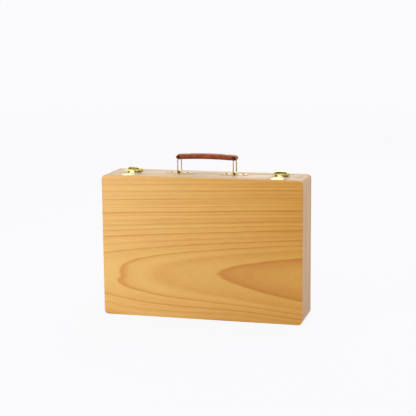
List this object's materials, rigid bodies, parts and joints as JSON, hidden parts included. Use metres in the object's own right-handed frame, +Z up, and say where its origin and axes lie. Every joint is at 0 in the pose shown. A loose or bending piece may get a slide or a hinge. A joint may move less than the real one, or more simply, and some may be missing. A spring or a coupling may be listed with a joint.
{
  "type": "pochade box",
  "caption": "Shallow wooden painting box with comb-jointed lid and base on inset hinges, draw latches, lid stay, palette, dividers and a folding leather handle.",
  "frame": {"origin": "middle of the underside, with the box closed and standing on its hinge side", "axes": "+X along the width to the viewer's right, +Y from the lid's panel towards the base's panel, +Z up towards the handle"},
  "size_m": [0.4, 0.0944, 0.3206],
  "materials": {
    "wood_panel": "satin varnish",
    "wood_frame": "satin varnish",
    "plywood": "bare",
    "brass": "polished",
    "leather": "waxed"
  },
  "bodies": {
    "base": {"base_panel": "wood_panel", "base_board_top": "wood_frame", "base_board_bottom": "wood_frame", "base_board_left": "wood_frame", "base_board_right": "wood_frame", "long_divider": "plywood", "tube_dividers": "plywood", "brush_divider": "plywood", "hinge_leaves_base": "brass", "hinge_pins": "brass", "hinge_screws_base": "brass", "latch_plates": "brass", "latch_screws": "brass", "latch_pins": "brass", "handle_brackets": "brass", "bracket_screws": "brass", "stay_plate_base": "brass", "stay_screws_base": "brass"},
    "lid": {"lid_panel": "wood_panel", "lid_board_top": "wood_frame", "lid_board_bottom": "wood_frame", "lid_board_left": "wood_frame", "lid_board_right": "wood_frame", "panel_rail_left": "wood_frame", "panel_rail_right": "wood_frame", "hinge_leaves_lid": "brass", "hinge_screws_lid": "brass", "catch_plates": "brass", "catch_screws": "brass", "stay_plate_lid": "brass", "stay_screws_lid": "brass"},
    "palette": {"palette": "plywood"},
    "lever_left": {"lever_left": "brass", "link_pin_left": "brass"},
    "lever_right": {"lever_right": "brass", "link_pin_right": "brass"},
    "link_left": {"link_left": "brass"},
    "link_right": {"link_right": "brass"},
    "bail_left": {"bail_left": "brass"},
    "bail_right": {"bail_right": "brass"},
    "grip": {"grip": "leather", "grip_rivets": "brass"},
    "stay_lower": {"stay_arm_lower": "brass", "stay_bolt": "brass", "thumb_nut": "brass"},
    "stay_upper": {"stay_arm_upper": "brass"}
  },
  "joints": [
    {"name": "lid_hinge", "type": "hinge", "parent": "base", "child": "lid", "pos_m": [0, -0.003, 0.0026], "axis": [1, 0, 0], "range_deg": [0, 105]},
    {"name": "stay_lower_pivot", "type": "hinge", "parent": "base", "child": "stay_lower", "pos_m": [0.1874, 0.009, 0.1126], "axis": [1, 0, 0], "range_deg": [0, 105]},
    {"name": "stay_upper_pivot", "type": "hinge", "parent": "lid", "child": "stay_upper", "pos_m": [0.1855, -0.015, 0.1126], "axis": [1, 0, 0], "range_deg": [-105, 0]},
    {"name": "palette_lift", "type": "slide", "parent": "base", "child": "palette", "axis": [0, -1, 0], "range_m": [0, 0.02]},
    {"name": "lever_left_pivot", "type": "hinge", "parent": "base", "child": "lever_left", "pos_m": [-0.149, 0.005, 0.286], "axis": [1, 0, 0], "range_deg": [0, 115]},
    {"name": "link_left_pivot", "type": "hinge", "parent": "lever_left", "child": "link_left", "pos_m": [-0.149, 0.0135, 0.2834], "axis": [1, 0, 0], "range_deg": [-138, 0]},
    {"name": "lever_right_pivot", "type": "hinge", "parent": "base", "child": "lever_right", "pos_m": [0.149, 0.005, 0.286], "axis": [1, 0, 0], "range_deg": [0, 115]},
    {"name": "link_right_pivot", "type": "hinge", "parent": "lever_right", "child": "link_right", "pos_m": [0.149, 0.0135, 0.2834], "axis": [1, 0, 0], "range_deg": [-138, 0]},
    {"name": "bail_left_pivot", "type": "hinge", "parent": "base", "child": "bail_left", "pos_m": [-0.056, 0.0077, 0.28265], "axis": [0, 1, 0], "range_deg": [-68, 68]},
    {"name": "bail_right_pivot", "type": "hinge", "parent": "base", "child": "bail_right", "pos_m": [0.056, 0.0077, 0.28265], "axis": [0, 1, 0], "range_deg": [-68, 68]},
    {"name": "grip_pivot", "type": "hinge", "parent": "bail_left", "child": "grip", "pos_m": [-0.056, 0.0077, 0.31305], "axis": [0, 1, 0], "range_deg": [-68, 68]}
  ],
  "couplings": [
    {"joint": "stay_lower_pivot", "follows": "lid_hinge", "ratio": 1},
    {"joint": "stay_upper_pivot", "follows": "lid_hinge", "ratio": -1},
    {"joint": "link_left_pivot", "follows": "lever_left_pivot", "ratio": -1.2},
    {"joint": "link_right_pivot", "follows": "lever_right_pivot", "ratio": -1.2},
    {"joint": "bail_right_pivot", "follows": "bail_left_pivot", "ratio": 1},
    {"joint": "grip_pivot", "follows": "bail_left_pivot", "ratio": -1}
  ]
}
